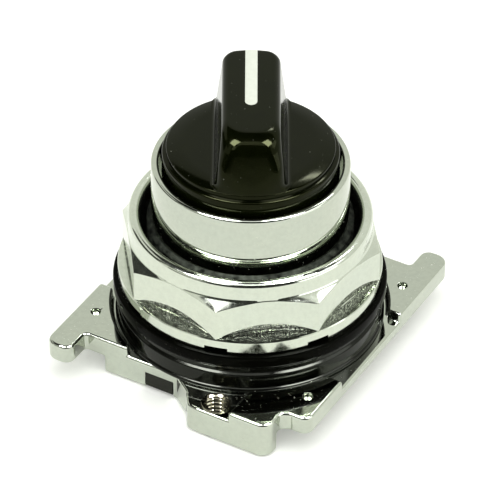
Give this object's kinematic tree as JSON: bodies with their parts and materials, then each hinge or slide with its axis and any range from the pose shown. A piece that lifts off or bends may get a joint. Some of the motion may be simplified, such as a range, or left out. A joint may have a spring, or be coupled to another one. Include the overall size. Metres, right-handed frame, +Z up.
{
  "type": "rotary isolator switch operator",
  "caption": "Panel-mount rotary switch operator: chromed base plate and threaded bushing, octagonal ring nut, black bar-grip knob with a white line, cam and plungers inside.",
  "frame": {"origin": "centre of the plane that the base plate's skirts stand on, on the knob's axis", "axes": "+Z up along the knob's axis, from the contact-block side to the knob; +Y from the front skirt to the rear skirt, the plate's longest way"},
  "size_m": [0.0418, 0.048, 0.0424],
  "materials": {
    "chrome": "bright chrome plate on die-cast zinc",
    "nut_chrome": "bright chrome plate, as-cast recesses",
    "rubber": "matte black",
    "insert_brass": "plated",
    "knob_black": "glossy moulded black",
    "white_inlay": "satin",
    "steel": "zinc plated",
    "brass": "machined",
    "moulded_black": "moulded"
  },
  "bodies": {
    "housing": {"operator_housing": "chrome", "boss_boot": "rubber", "panel_gasket": "rubber", "mounting_nut": "nut_chrome", "threaded_inserts": "insert_brass", "shaft_bush": "brass", "shaft_seal": "rubber", "seal_washer": "steel", "detent_ring": "steel", "stop_pins": "steel", "plunger_spring_left": "steel", "plunger_spring_right": "steel", "plunger_guide": "moulded_black", "guide_screws": "steel"},
    "rotor": {"knob": "knob_black", "indicator_insert": "white_inlay", "rotor_shaft": "steel", "knob_screw": "steel", "swash_cam": "moulded_black", "cam_pins": "steel", "retaining_ring": "steel", "detent_balls": "steel", "detent_springs": "steel"},
    "plunger_left": {"plunger_left": "moulded_black"},
    "plunger_right": {"plunger_right": "moulded_black"}
  },
  "joints": [
    {"name": "knob_turn", "type": "hinge", "parent": "housing", "child": "rotor", "pos_m": [0, 0, 0.02], "axis": [0, 0, 1], "range_deg": [-60, 0]},
    {"name": "plunger_left_slide", "type": "slide", "parent": "housing", "child": "plunger_left", "axis": [0, 0, 1], "range_m": [0, 0.00215], "deforming": ["plunger_spring_left"]},
    {"name": "plunger_right_slide", "type": "slide", "parent": "housing", "child": "plunger_right", "axis": [0, 0, 1], "range_m": [-0.00215, 0], "deforming": ["plunger_spring_right"]}
  ],
  "couplings": [
    {"joint": "plunger_left_slide", "follows": "knob_turn", "m_per_rad": -0.0020238},
    {"joint": "plunger_right_slide", "follows": "knob_turn", "m_per_rad": 0.0020238}
  ]
}
